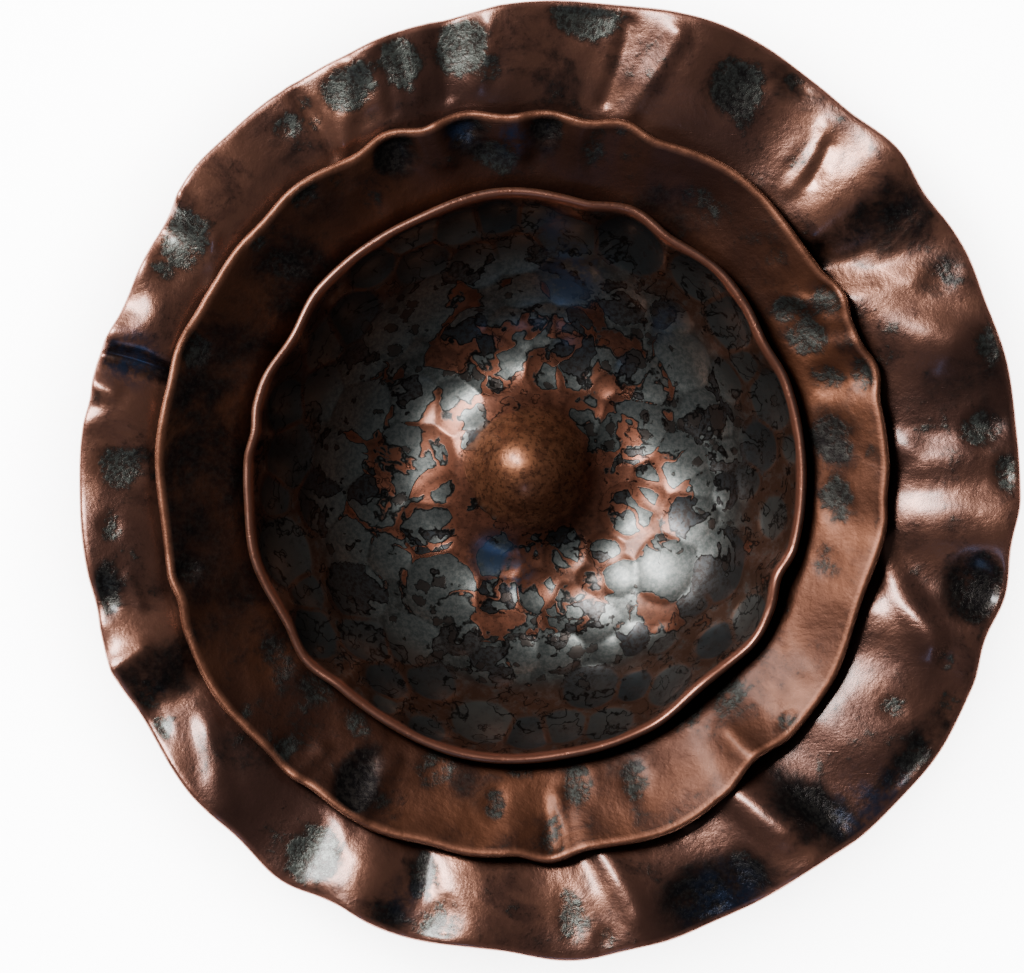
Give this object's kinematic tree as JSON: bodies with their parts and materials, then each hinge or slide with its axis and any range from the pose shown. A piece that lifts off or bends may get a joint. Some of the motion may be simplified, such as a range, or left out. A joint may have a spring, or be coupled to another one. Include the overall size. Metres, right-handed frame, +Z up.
{
  "type": "nest of hammered copper bowls",
  "caption": "Nest of hand-hammered copper bowls with beaten wavy rims: a wide ruffled dish, a sloping bowl and a deep inner bowl with a domed boss in its floor.",
  "frame": {"origin": "middle of the flat foot of the outer dish, on the surface it stands on", "axes": "+Z up out of the bowls, +Y away from the viewer across the bowls (the slightly longer way), +X to the right"},
  "size_m": [0.3544, 0.3614, 0.0691],
  "materials": {
    "worn_copper": "hammered copper, brown wax patina rubbed bright on the ridges, semi-gloss",
    "dark_copper": "hammered copper, dark brown patina with grey-green spots in the dents, semi-gloss",
    "patinated_copper": "hammered copper, dark grey-green oxide islands broken by a network of bare copper, semi-gloss"
  },
  "bodies": {
    "outer": {"outer_dish": "worn_copper"},
    "middle": {"middle_bowl": "dark_copper"},
    "inner": {"inner_bowl": "patinated_copper"}
  },
  "joints": [
    {"name": "middle_lift", "type": "slide", "parent": "outer", "child": "middle", "axis": [0, 0, 1], "range_m": [0, 0.09]},
    {"name": "inner_lift", "type": "slide", "parent": "middle", "child": "inner", "axis": [0, 0, 1], "range_m": [0, 0.09]}
  ]
}
